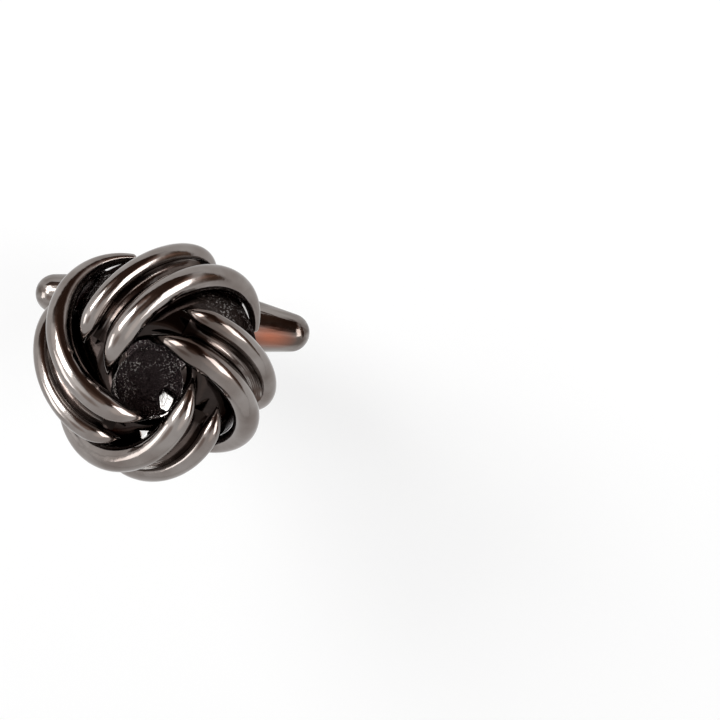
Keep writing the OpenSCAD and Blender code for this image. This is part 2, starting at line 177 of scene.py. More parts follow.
def cut(piece, cutters, added=(), sharp_deg=30):
    """Joins the added bodies to the piece, takes the cutters away and removes both."""
    steps = [("UNION", other) for other in added] + [("DIFFERENCE", other) for other in cutters]
    for operation, other in steps:
        step = piece.modifiers.new("cut", "BOOLEAN")
        step.operation = operation
        step.solver = "EXACT"
        step.object = other
    bpy.context.view_layer.update()
    seen = piece.evaluated_get(bpy.context.evaluated_depsgraph_get())
    mesh = bpy.data.meshes.new_from_object(seen)
    piece.modifiers.clear()
    piece.data = mesh
    work = bmesh.new()
    work.from_mesh(mesh)
    smooth(work, sharp_deg)
    work.to_mesh(mesh)
    work.free()
    for _, other in steps:
        bpy.data.objects.remove(other)
    return piece


def turned(points, copy):
    """The points of the first pair, turned to another pair's place."""
    turn = Matrix.Rotation(-math.pi / 2 * (copy - 1), 3, "Z")
    return [turn @ Vector(p) for p in points]


# ---------------------------------------------------------------- the strands

# Shares of a strand's length over which its tip dips to the well and its tail tucks in
DIP_RUN, TUCK_RUN = 0.26, 0.2
# A rounded end reaches this share of its radius and closes at this one
CAP_REACH, CAP_HOLE = 0.98, 0.02
# How far the stations crowd towards both ends
CROWDING = 0.09


class Strand:
    """A tapered strand: a turned ellipse in plan, a cosine in height. Shares u run from its tip."""

    def __init__(self, centre, size, turn, start, end, peak, top_z, radius,
                 tip, tip_len, tail, tail_len, dip, tuck):
        self.centre = Vector(centre) * REACH
        self.long, self.short = size[0] * REACH, size[1] * REACH
        self.turn, self.start, self.end, self.peak = map(math.radians, (turn, start, end, peak))
        self.radius_max = radius
        self.tip, self.tip_len, self.tail, self.tail_len = tip, tip_len, tail, tail_len
        self.dip, self.tuck = dip, tuck
        low_z = PLATE_T + radius * tail + SEAT
        self.rise = (top_z - low_z) / (1 - math.cos(self.end - self.peak))
        self.mid_z = top_z - self.rise

    def point(self, u):
        a = self.start + (self.end - self.start) * u
        ex = self.long * math.cos(a - self.turn)
        ey = self.short * math.sin(a - self.turn)
        c, s = math.cos(self.turn), math.sin(self.turn)
        x = self.centre.x + ex * c - ey * s
        y = self.centre.y + ex * s + ey * c
        pull = 1 - self.tuck * max(0, 1 - (1 - u) / TUCK_RUN) ** 2 / math.hypot(x, y)
        z = self.mid_z + self.rise * math.cos(a - self.peak)
        return Vector((x * pull, y * pull, z - self.dip * max(0, 1 - u / DIP_RUN) ** 2))

    def radius(self, u):
        def taper(w, end, length):
            return end + (1 - end) * math.sin(math.pi / 2 * min(1, w / length))
        return self.radius_max * min(taper(u, self.tip, self.tip_len),
                                     taper(1 - u, self.tail, self.tail_len))

    def along(self, u, step=0.004):
        return (self.point(u + step) - self.point(u - step)).normalized()


INNER_TAIL, OUTER_TOP_SHARE = 0.34, 0.895
INNER_TOP = KNOT_H - INNER_D / 2
INNER_LOW = PLATE_T + INNER_D / 2 * INNER_TAIL + SEAT
OUTER_TOP = INNER_LOW + (INNER_TOP - INNER_LOW) * OUTER_TOP_SHARE
INNER = Strand(centre=(-0.139, 0.226), size=(0.773, 0.558), turn=-22.7,
               start=-82, end=-258, peak=-102, top_z=INNER_TOP, radius=INNER_D / 2,
               tip=0.11, tip_len=0.19, tail=INNER_TAIL, tail_len=0.52, dip=INNER_DIP, tuck=0)
OUTER = Strand(centre=(-0.39, -0.07), size=(0.67, 0.483), turn=-32.8,
               start=-79.5, end=-232, peak=-93, top_z=OUTER_TOP, radius=OUTER_D / 2,
               tip=0.13, tip_len=0.17, tail=0.4, tail_len=0.3, dip=OUTER_DIP, tuck=OUTER_TUCK)
# Shares at which a strand is measured to fit the core to it
STATIONS = spread(0, 1, 91)


def strand_points(strand, rings=220, sides=60, cap=8):
    """Points of a strand in rings square to its centreline, with rounded ends."""
    circle = full_turn(sides)

    def ring(at, along, radius):
        side = along.cross(Vector((0, 0, 1))).normalized()
        up = side.cross(along)
        return [at + side * (radius * math.cos(w)) + up * (radius * math.sin(w)) for w in circle]

    def rounded(end, way, angles):
        at, along, radius = strand.point(end), strand.along(end), strand.radius(end)
        points = []
        for w in angles:
            points += ring(at + along * (way * radius * math.sin(w) * CAP_REACH), along,
                           radius * max(CAP_HOLE, math.cos(w)))
        return points

    points = rounded(0, -1, spread(math.pi / 2, 0, cap)[:-1])
    for share in spread(0, 1, rings):
        u = share - CROWDING * math.sin(2 * math.pi * share)
        points += ring(strand.point(u), strand.along(u), strand.radius(u))
    points += rounded(1, 1, spread(0, math.pi / 2, cap)[1:])
    return points, len(points) // sides, sides


def make_strands():
    pieces = []
    for kind, name in ((INNER, "inner_strand"), (OUTER, "outer_strand")):
        points, rings, sides = strand_points(kind)
        for copy in COPIES:
            piece = mesh_piece(f"{name}_smooth_{copy}", turned(points, copy),
                               tube_faces(rings, sides))
            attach(piece, KNOT)
            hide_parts(f"{name}_{copy}")
            pieces.append(piece)
    return pieces


# ---------------------------------------------------------------- webs in the valleys

# A web runs between two shares of the outer strand. Its edge, floor and underside lie above the
# line between the two strands by these shares of the outer strand's radius
WEB_FROM, WEB_TO = 0.05, 0.84
WEB_EDGE, WEB_FLOOR, WEB_UNDER = 0.12, -0.45, -0.8
# Both ends dive over this share, till the web is this thin
WEB_DIVE, WEB_THIN = 0.14, 0.04
DIVE_CURVE, GROOVE_CURVE = 1.5, 3.2
# Beside the outer strand's share u lies the inner one's BESIDE_FROM + BESIDE_RUN * u
BESIDE_FROM, BESIDE_RUN = 0.06, 0.7
UNDERSIDE = (1, 0.5, 0)
LAY = "lay"


def web_ring(u, across_steps):
    """Section of the web at the share u of the outer strand: a groove with soft sides."""
    v = BESIDE_FROM + BESIDE_RUN * u
    a, b = INNER.point(v), OUTER.point(u)
    across = (b - a).normalized()
    along = (INNER.along(v) + OUTER.along(u)).normalized()
    up = along.cross(across).normalized()
    near = INNER.radius(v) + SEAT
    gap = (b - a).length - near - OUTER.radius(u) - SEAT
    rise = OUTER.radius(u)
    sink = max(0, 1 - min(u - WEB_FROM, WEB_TO - u) / WEB_DIVE) ** DIVE_CURVE
    floor = WEB_FLOOR + (WEB_UNDER + WEB_THIN - WEB_FLOOR) * sink
    edge = WEB_EDGE + (floor + WEB_THIN - WEB_EDGE) * sink

    def at(q, height):
        return a + across * (near + gap * q) + up * (rise * height)

    top = [at(q, floor + (edge - floor) * abs(2 * q - 1) ** GROOVE_CURVE)
           for q in spread(0, 1, across_steps)]
    return top + [at(q, WEB_UNDER) for q in UNDERSIDE]


def make_webs(rings=110, across_steps=25):
    points = []
    for u in spread(WEB_FROM, WEB_TO, rings):
        points += web_ring(u, across_steps)
    sides = across_steps + len(UNDERSIDE)
    pieces = []
    for copy in COPIES:
        piece = mesh_piece(f"pair_web_smooth_{copy}", turned(points, copy),
                           tube_faces(rings, sides), sharp_deg=50)
        # Coordinates across and along the web, for its polishing lines
        layer = piece.data.uv_layers.new(name=LAY)
        for loop in piece.data.loops:
            ring, side = divmod(loop.vertex_index, sides)
            layer.data[loop.index].uv = (side / across_steps, ring / rings)
        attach(piece, KNOT)
        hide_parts(f"pair_web_{copy}")
        pieces.append(piece)
    return pieces


# ---------------------------------------------------------------- the cast core

# The well widens below its rim down to the chamber
CHAMBER_SLOPE = 0.6
RIM_LOW = DECK_Z - RIM_BEVEL - RIM_H
CHAMBER_Z = RIM_LOW - (WELL_R - WELL_RIM_R) * CHAMBER_SLOPE
# The rim's crown falls by this share of the bevel, along this curve
CROWN_FALL, CROWN_CURVE, CROWN_STEPS = 0.8, 1.5, 5
# How far a cutter starts or ends beyond the face it cuts
OVER = 1
# The rivet's head is cut from this height in the strap's pocket
HEAD_FROM = 0.2

# Casting relief: lumps per mm and height of its large and small forms, and how deep it is set back
LARGE, SMALL, SET_BACK = (1.6, 0.1), (5, 0.05), 0.04
# Fineness and weight of the octaves of a relief
OCTAVES = ((1, 0.9), (2.3, 0.495), (5.1, 0.315))
# The deck slopes in by this drop over this width, and a narrow strip beside the wall stays smooth
FUNNEL_DROP, FUNNEL_W, CALM_W = 0.8, 1.0, 0.1
# A surface counts as met within this distance
NEAR = 0.05

# Flat places of the casting that mirror the light above: a chip beside the well's wall and a small
# facet on the dome, whose brighter colours are painted highlights. Each has a point on it, the way
# it faces, the heights it is cut from and its corners in plan
Facet = namedtuple("Facet", "at way low high corners")
CHIP = Facet(at=Vector((1.05, -2.55, 4.2)), way=Vector((-0.222, 0.34, 0.914)),
             low=WELL_FLOOR_Z - NEAR, high=WELL_FLOOR_Z + NEAR,
             corners=((0.53, -2.22), (0.83, -1.87), (1.52, -2.19),
                      (1.48, -2.53), (1.25, -3.14), (0.73, -2.93)))
BRIGHT_FACET = Facet(at=Vector((0.09, -4.46, 6.9)), way=Vector((-0.1, 0.187, 0.977)),
             low=DECK_Z + 0.1, high=KNOT_H,
             corners=((-0.3, -3.83), (0.41, -3.77), (0.06, -4.48)))
FACET_EDGE, FACET_RELIEF = 0.1, 0.008


def core_sizes():
    """Radius of the dome, reach of its foot, centre and lean of its lip, as the source has them."""
    circles = []
    for strand in (INNER, OUTER):
        for u in STATIONS:
            p = strand.point(u)
            circles.append((math.hypot(p.x, p.y), p.z, strand.radius(u)))
    lip_r = THROAT_R + LIP_R
    dome_r = min(math.hypot(r, z - DOME_Z) - w for r, z, w in circles
                 if z > FOOT_TOP_Z and r > lip_r) - SEAT
    foot = min(r * math.cos(FOOT_LEAN) - z * math.sin(FOOT_LEAN) - w
               for r, z, w in circles if z <= FOOT_TOP_Z) - SEAT
    lean = math.asin(lip_r / (dome_r - LIP_R))
    return dome_r, foot, (lip_r, DOME_Z + (dome_r - LIP_R) * math.cos(lean)), lean


def core_outline(step=0.06, under_step=0.6, dome_steps=70, lip_steps=22):
    """Half section of the core from the middle of its rear face round to the deck."""
    dome_r, foot, lip, lean = core_sizes()
    c, s = math.cos(FOOT_LEAN), math.sin(FOOT_LEAN)
    foot_r = (foot + PLATE_T * s) / c
    # The foot's cone meets the ball where (r, z) is on both
    off = foot + DOME_Z * s
    along = math.sqrt(dome_r ** 2 - off ** 2)
    meet = (off * c + along * s, DOME_Z - off * s + along * c)
    start = math.atan2(meet[1] - DOME_Z, meet[0])
    outline = line((0, PLATE_T), (foot_r, PLATE_T), under_step)
    outline += line((foot_r, PLATE_T), meet, step)
    outline += arc((0, DOME_Z), dome_r, start, math.pi / 2 - lean, dome_steps)[:-1]
    outline += arc(lip, LIP_R, math.pi / 2 - lean, math.pi, lip_steps)[:-1]
    outline += line((THROAT_R, lip[1]), (THROAT_R, DECK_Z), step)
    outline += line((THROAT_R, DECK_Z), (0, DECK_Z), step)
    return outline + [(0, DECK_Z)]


def well_outline(step=0.05, above_step=0.4):
    """Half section of the well's hollow, from the middle of its floor up past the lip."""
    crown = [(WELL_RIM_R + RIM_BEVEL * t,
              DECK_Z - RIM_BEVEL * CROWN_FALL * (1 - t) ** CROWN_CURVE)
             for t in spread(0, 1, CROWN_STEPS)]
    corners = [(0, WELL_FLOOR_Z), (WELL_R, WELL_FLOOR_Z), (WELL_R, CHAMBER_Z),
               (WELL_RIM_R, RIM_LOW), *crown, (WELL_RIM_R + RIM_BEVEL, KNOT_H), (0, KNOT_H)]
    outline = []
    for first, second in zip(corners[:-1], corners[1:]):
        outline += line(first, second, step if second[1] <= DECK_Z else above_step)
    return outline + [corners[-1]]


def lobe_balls():
    """Balls that fill the room in each loop, each as large as the strands allow."""
    balls = []
    for share in LOBES:
        centre = Vector((share[0] * REACH, share[1] * REACH, share[2] * KNOT_H))
        room = min((turned([strand.point(u)], copy)[0] - centre).length - strand.radius(u)
                   for strand in (INNER, OUTER) for copy in COPIES for u in STATIONS) - SEAT
        balls += [(turned([centre], copy)[0], room) for copy in COPIES]
    return balls


def lumps(p, scale):
    """Rough sand-cast relief: a few octaves of noise, from about -1 to 1."""
    q = Vector(p) * scale
    return sum(weight * noise.noise(q * fineness) for fineness, weight in OCTAVES)


def facet_share(corners, x, y):
    """1 inside the corners, falling to 0 just outside them."""
    inside = min(((by - ay) * (x - ax) - (bx - ax) * (y - ay)) / math.dist((ax, ay), (bx, by))
                 for (ax, ay), (bx, by) in sides_of(corners))
    t = min(1, max(0, 1 + inside / FACET_EDGE))
    return t * t * (3 - 2 * t)


def roughen(core):
    """Relief of the casting: lumps and pits in the well, a deck that slopes in, and the facets."""
    mesh = core.data
    places = []
    for vert in mesh.vertices:
        p = vert.co / MM
        away = math.hypot(p.x - WELL_AT[0], p.y - WELL_AT[1])
        new = p.copy()
        if away < WELL_R + NEAR and WELL_FLOOR_Z - NEAR < p.z < DECK_Z + 0.01:
            r = math.hypot(p.x, p.y)
            slope = min(1, max(0, (THROAT_R - r) / FUNNEL_W))
            rise = min(1, max(0, (p.z - CHAMBER_Z) / (DECK_Z - CHAMBER_Z)))
            if r <= THROAT_R - CALM_W or p.z <= DECK_Z - RIM_BEVEL - CALM_W:
                new += vert.normal * (lumps(p, LARGE[0]) * LARGE[1]
                                      + lumps(p, SMALL[0]) * SMALL[1] - SET_BACK)
            new.z -= FUNNEL_DROP * slope ** 2 * rise
        for at, way, low, high, corners in (CHIP, BRIGHT_FACET):
            share = facet_share(corners, p.x, p.y) if low < p.z < high else 0
            if share:
                flat = at.z - (way.x * (p.x - at.x) + way.y * (p.y - at.y)) / way.z
                new.z += (flat + lumps(p, SMALL[0]) * FACET_RELIEF - new.z) * share
        if new != p:
            places.append((vert, new * MM))
    for vert, place in places:
        vert.co = place
    mesh.update()


def make_core():
    core = turned_solid("cast_core", core_outline())
    lobes = [ball_piece("add_lobe", centre, radius) for centre, radius in lobe_balls()]
    well = turned_solid("cut_well", well_outline(), WELL_AT)
    under = box_piece("cut_under", (0, 0, PLATE_T / 2 - OVER),
                      (KNOT_W, KNOT_W, PLATE_T + 2 * OVER))
    strap = box_piece("cut_strap", (0, 0, PLATE_T + (LEG_T + SEAT) / 2 - OVER / 2),
                      (LEG_W + 2 * SEAT, LEG_GAP + 2 * LEG_T + 2 * SEAT, LEG_T + SEAT + OVER))
    head = rod_piece("cut_head", (0, 0, PLATE_T + HEAD_FROM),
                     (0, 0, PLATE_T + LEG_T + RIVET_HEAD_T + SEAT), RIVET_HEAD_D / 2 + SEAT)
    cut(core, [well, under, strap, head], lobes, sharp_deg=50)
    roughen(core)
    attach(core, KNOT)
    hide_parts("knot_core")
    return core


# ---------------------------------------------------------------- the toggle's shells

FLAT_Y = LEG_GAP / 2 - SIDE_FIT
# Rolled edge along the seam: its height, its largest share of the radius, and its set-back
SEAM, SEAM_SHARE, SEAM_IN = 0.035, 0.4, 0.6
# The noses close at this radius
NOSE_HOLE = 0.001
TOGGLE_SHARP_DEG = 28


def toggle_radius():
    """Radius of the toggle against the distance from its middle, as a function."""
    half, middle = TOGGLE_LEN / 2, TOGGLE_D / 2
    touch = NOSE_R * (1 - math.sin(TAPER))
    touch_r = NOSE_R * math.cos(TAPER)
    run = (2 * (middle - touch_r - (half - touch) * math.tan(TAPER))
           / (2 * math.tan(TAPER / 2) - 2 * math.tan(TAPER)))
    bow = run / math.sin(TAPER)

    def radius(x):
        x = abs(x)
        if x < run:
            return middle - bow + math.sqrt(bow * bow - x * x)
        if x < half - touch:
            return touch_r + (half - touch - x) * math.tan(TAPER)
        return math.sqrt(max(0, NOSE_R ** 2 - (x - half + NOSE_R) ** 2))
    return radius


def toggle_stations(nose_steps=26, body_steps=90):
    """Places along the toggle, closer together in its noses."""
    half = TOGGLE_LEN / 2
    nose = [half - NOSE_R * (1 - math.cos(w)) for w in spread(0, math.pi / 2, nose_steps)]
    stations = nose + spread(nose[-1], 0, body_steps)[1:]
    return stations + [-x for x in reversed(stations[:-1])]


def shell_ring(r, side_steps=5, back_steps=61):
    """Section of a shell, [y, z]: a flat side, the round back and the other flat side."""
    rolled = min(SEAM, r * SEAM_SHARE)
    edge = math.acos(min(1, FLAT_Y / r)) if r > FLAT_Y else 0
    edge = max(edge, math.asin(min(1, rolled / r)))
    side = [(r * math.cos(edge), z) for z in spread(rolled, r * math.sin(edge), side_steps)[:-1]]
    back = [(r * math.cos(w), r * math.sin(w)) for w in spread(edge, math.pi - edge, back_steps)]
    inset = r * math.cos(edge) - rolled * SEAM_IN
    return [(inset, 0), *side, *back, *((-y, z) for y, z in reversed(side)), (-inset, 0)]


def shell_cutters(socket_too):
    """The cavity and the pin's bore, and the sockets of the pegs where they are asked for."""
    middle = -POST_LEN
    cutters = [
        box_piece("cut_cavity", (0, 0, middle), CAVITY),
        rod_piece("cut_bore", (0, -FLAT_Y - OVER, middle), (0, FLAT_Y + OVER, middle),
                  PIN_D / 2 + PIN_FIT, sides=96),
    ]
    if socket_too:
        cutters += [rod_piece("cut_socket", (x, 0, middle + OVER),
                              (x, 0, middle - PEG_LEN - SEAT), PEG_D / 2 + SEAT)
                    for x in (-PEG_X, PEG_X)]
    return cutters


def make_toggle():
    radius = toggle_radius()
    stations = toggle_stations()
    pieces = []
    for way, node in ((1, "toggle_shell_upper"), (-1, "toggle_shell_lower")):
        points = [Vector((x, y, way * z - POST_LEN))
                  for x in stations for y, z in shell_ring(max(radius(x), NOSE_HOLE))]
        sides = len(points) // len(stations)
        shell = mesh_piece(f"{node}_smooth", points, tube_faces(len(stations), sides),
                           sharp_deg=TOGGLE_SHARP_DEG)
        cut(shell, shell_cutters(socket_too=way < 0), sharp_deg=TOGGLE_SHARP_DEG)
        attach(shell, TOGGLE)
        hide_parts(node)
        pieces.append(shell)
    for side, x in (("left", -PEG_X), ("right", PEG_X)):
        peg = rod_piece(f"toggle_peg_{side}", (x, 0, -POST_LEN - PEG_LEN),
                        (x, 0, -POST_LEN + PEG_D / 2), PEG_D / 2, sides=32)
        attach(peg, TOGGLE)
        pieces.append(peg)
    return pieces


# ---------------------------------------------------------------- node graphs

# The colour sockets of a Mix node
MIX_FIRST, MIX_SECOND, MIX_OUT = 6, 7, 2
# Half the width of the edge of a mask drawn by corners
MASK_EDGE = 0.02


class Graph:
    """A node tree in the making. Its methods add nodes and return what comes out of them."""

    def __init__(self, tree, coord="Object"):
        self.nodes, self.links = tree.nodes, tree.links
        self.coord = self.add("ShaderNodeTexCoord").outputs[coord]

    def fill(self, node, inputs):
        """Links or sets the inputs of a node that are named or numbered."""
        for name, value in inputs.items():
            socket = node.inputs[name]
            if isinstance(value, bpy.types.NodeSocket):
                self.links.new(value, socket)
            else:
                socket.default_value = (*value, 1) if socket.type == "RGBA" else value
        return node

    def add(self, kind, inputs=None):
        return self.fill(self.nodes.new(kind), inputs or {})

    def shade(self, inputs):
        """Feeds the material's shader."""
        return self.fill(self.nodes["Principled BSDF"], inputs)

    def maths(self, operation, *values):
        node = self.add("ShaderNodeMath")
        node.operation = operation
        return self.fill(node, dict(enumerate(values))).outputs[0]

    def vector(self, operation, *values):
        node = self.add("ShaderNodeVectorMath")
        node.operation = operation
        self.fill(node, dict(enumerate(values)))
        return node.outputs["Value" if operation in ("LENGTH", "DOT_PRODUCT") else "Vector"]

    def times(self, first, *others):
        for other in others:
            first = self.maths("MULTIPLY", first, other)
        return first

    def axis(self, vector, name):
        return self.add("ShaderNodeSeparateXYZ", {"Vector": vector}).outputs[name]

    def ramp(self, value, low, high, to_low=0, to_high=1, kind="LINEAR"):
        """The value's way from low to high turned into one from to_low to to_high."""
        node = self.add("ShaderNodeMapRange", {
            "Value": value, "From Min": low, "From Max": high, "To Min": to_low, "To Max": to_high})
        node.interpolation_type = kind
        return node.outputs["Result"]

    def step(self, value, start, end):
        """0 at a start in mm, 1 at an end in mm and beyond."""
        return self.ramp(value, start * MM, end * MM)

    def mix(self, factor, first, second):
        """Mix of two colours."""
        node = self.add("ShaderNodeMix")
        node.data_type = "RGBA"
        node.clamp_result = False
        self.fill(node, {"Factor": factor, MIX_FIRST: first, MIX_SECOND: second})
        return node.outputs[MIX_OUT]

    def mix_shaders(self, factor, first, second):
        node = self.add("ShaderNodeMixShader", {0: factor, 1: first, 2: second})
        return node.outputs["Shader"]

    def noise(self, scale, detail=4, rough=0.5, vector=None, unit=MM):
        """Noise with scale lumps per unit, over the part's own coordinates or another vector."""
        return self.add("ShaderNodeTexNoise", {
            "Vector": vector or self.coord, "Scale": scale / unit,
            "Detail": detail, "Roughness": rough}).outputs["Fac"]

    def bump(self, height, depth, strength, before=None):
        """Relief of a depth in mm, over another that is there before."""
        node = self.add("ShaderNodeBump", {
            "Height": height, "Distance": depth * MM, "Strength": strength})
        if before:
            self.fill(node, {"Normal": before})
        return node.outputs["Normal"]

    def away(self, centre, shape=(1, 1, 1)):
        """Distance from a centre in mm, with each axis stretched by the shape."""
        offset = self.vector("SUBTRACT", self.coord, Vector(centre) * MM)
        return self.vector("LENGTH", self.vector("MULTIPLY", offset, shape))

    def within(self, corners):
        """1 inside the corners in plan, 0 outside."""
        parts = []
        for (ax, ay), (bx, by) in sides_of(corners):
            span = math.dist((ax, ay), (bx, by))
            across = ((by - ay) / span, (ax - bx) / span, 0)
            start = ax * across[0] + ay * across[1]
            parts.append(self.step(self.vector("DOT_PRODUCT", self.coord, across),
                                   start - MASK_EDGE, start + MASK_EDGE))
        return self.times(*parts)


def new_material(name):
    material = bpy.data.materials.new(name)
    material.use_nodes = True
    return material, Graph(material.node_tree)


def new_metal(name, edge_tint=None):
    """Metallic material and its graph, mirroring less at grazing angles with an edge tint."""
    material, graph = new_material(name)
    graph.shade({"Metallic": 1})
    if edge_tint:
        graph.shade({"Specular Tint": edge_tint})
    return material, graph


def dress(piece, material):
    piece.data.materials.clear()
    piece.data.materials.append(material)


# ---------------------------------------------------------------- materials

WHITE = (1.0, 1.0, 1.0)
GUN_DARK, GUN_LIGHT, GUN_ROUGH = (0.175, 0.148, 0.135), (0.265, 0.241, 0.228), (0.09, 0.16)
# Painted dark reflection on the right-hand pair of strands: its middle, reach, full share and
# colour
DARK_REFLECTION_AT, DARK_REFLECTION_R, DARK_REFLECTION_FULL, PAINTED_DARK_REFLECTION = (2.4, 2.7, 8.2), 2.7, 0.35, (0.06, 0.042, 0.034)

# The web's dark base colours are painted shade between the strands
WEB_SHADE_DARK, WEB_SHADE_LIGHT, WEB_ROUGH = (0.035, 0.026, 0.023), (0.14, 0.112, 0.1), (0.12, 0.2)
# Bright polishing lines, painted shade at the ends that dive under the strands, and the edge tint
WEB_LINES, PAINTED_SHADE_WEB_ENDS, WEB_TINT = (0.5, 0.48, 0.46), (0.012, 0.009, 0.008), (0.5, 0.46, 0.44)
# Polishing lines across the web, and along it
LINE_COUNT = (26, 2.2, 1)

# Well tones, and bright grains that are painted glints over the cast relief
WELL_DARK, WELL_LIGHT, WELL_GLINTS = (0.05, 0.034, 0.035), (0.24, 0.195, 0.2), (0.9, 0.88, 0.86)
# The dome's near-black base colours are painted shade
DOME_SHADE_DARK, DOME_SHADE_LIGHT = (0.015, 0.0115, 0.0105), (0.045, 0.036, 0.033)
# Painted glints low on the dome's sides, and their share
SIDE_GLINTS, SIDE_SHARE = (0.6, 0.58, 0.57), 0.4
# The chip's brighter tones are a painted highlight on its mirroring facet
CHIP_HIGHLIGHT_LOW, CHIP_HIGHLIGHT_HIGH, CHIP_CALM = (0.2, 0.19, 0.19), (0.46, 0.45, 0.44), 0.15
# The facet's near-white tone is a painted highlight
FACET_HIGHLIGHT_TONE, RIM_TONE, CAST_TINT = (0.8, 0.79, 0.78), (0.3, 0.28, 0.27), (0.25, 0.23, 0.23)
CAST_ROUGH = (0.12, 0.22)
# The grains of the sides, with their relief and their painted glints, end in a ragged edge between
# these heights, as wide as this
SIDE_TOP, SIDE_FULL, RAGGED_W = DECK_Z + 1.8, DECK_Z + 0.9, 4

TOGGLE_DARK, TOGGLE_LIGHT, TOGGLE_ROUGH = (0.1, 0.08, 0.07), (0.26, 0.235, 0.22), (0.1, 0.18)
# Painted warm reflection towards the toggle's right end: its middle, the stretch of each axis and
# its colour
WARM_REFLECTION_AT, WARM_REFLECTION_SHAPE, PAINTED_WARM_REFLECTION = (7, -0.25, 1.9 - POST_LEN), (0.5, 1, 0.6), (0.42, 0.14, 0.08)
# Stretch of the lengthways grain
DRAWN, ROLLED = (0.12, 1, 1), (0.05, 1, 1)

STRIP_DARK, STRIP_LIGHT, STRIP_ROUGH = (0.42, 0.42, 0.43), (0.62, 0.61, 0.6), (0.2, 0.36)


def fine_grain(graph, before):
    """Grain of the plating, over the relief that is there before."""
    grain = graph.noise(scale=9, detail=5, rough=0.7)
    return graph.bump(grain, depth=0.004, strength=0.25, before=before)


def gunmetal():
    """Black nickel over a polished casting: brownish, with soft ripples, a fine grain and a painted
    dark reflection on the right-hand pair.
    """
    material, graph = new_metal("polished_gunmetal")
    tone = graph.ramp(graph.noise(scale=0.35, detail=3), 0.35, 0.65)
    # Painted dark reflection: the base colour darkens round a point over the right-hand pair of
    # strands
    dark_reflection = graph.step(graph.away(DARK_REFLECTION_AT), DARK_REFLECTION_R, DARK_REFLECTION_FULL * DARK_REFLECTION_R)
    haze = graph.noise(scale=1.3, detail=6, rough=0.65)
    ripple = graph.bump(graph.noise(scale=0.9, detail=2), depth=0.05, strength=0.4)
    graph.shade({
        "Base Color": graph.mix(dark_reflection, graph.mix(tone, GUN_DARK, GUN_LIGHT), PAINTED_DARK_REFLECTION),
        "Roughness": graph.ramp(haze, 0.35, 0.75, *GUN_ROUGH),
        "Normal": fine_grain(graph, ripple),
    })
    return material


def web_metal():
    """The valley between two strands: painted shade keeps it nearly black, with patches of fine
    bright polishing lines.
    """
    material, graph = new_metal("web_gunmetal", WEB_TINT)
    uv_map = graph.add("ShaderNodeUVMap")
    uv_map.uv_map = LAY
    uv = uv_map.outputs["UV"]
    lines = graph.noise(scale=1, detail=3, vector=graph.vector("MULTIPLY", uv, LINE_COUNT), unit=1)
    patches = graph.ramp(graph.noise(scale=0.45, detail=2), 0.44, 0.54)
    bright = graph.times(graph.ramp(lines, 0.52, 0.66), patches)
    # Painted shade: the valley's base colour stays nearly black
    plain = graph.mix(graph.noise(scale=0.8), WEB_SHADE_DARK, WEB_SHADE_LIGHT)
    # Painted shade: black where the ends dive under the strands
    run = graph.axis(uv, "Y")
    clear = graph.times(graph.ramp(run, 0.08, 0.2), graph.ramp(run, 0.98, 0.85))
    drawn = graph.bump(lines, depth=0.02, strength=0.35)
    soft = graph.noise(scale=1.2, detail=2)
    graph.shade({
        "Base Color": graph.mix(clear, PAINTED_SHADE_WEB_ENDS, graph.mix(bright, plain, WEB_LINES)),
        "Roughness": graph.ramp(graph.noise(scale=2, detail=5), 0.3, 0.7, *WEB_ROUGH),
        "Normal": graph.bump(soft, depth=0.05, strength=0.4, before=drawn),
    })
    return material


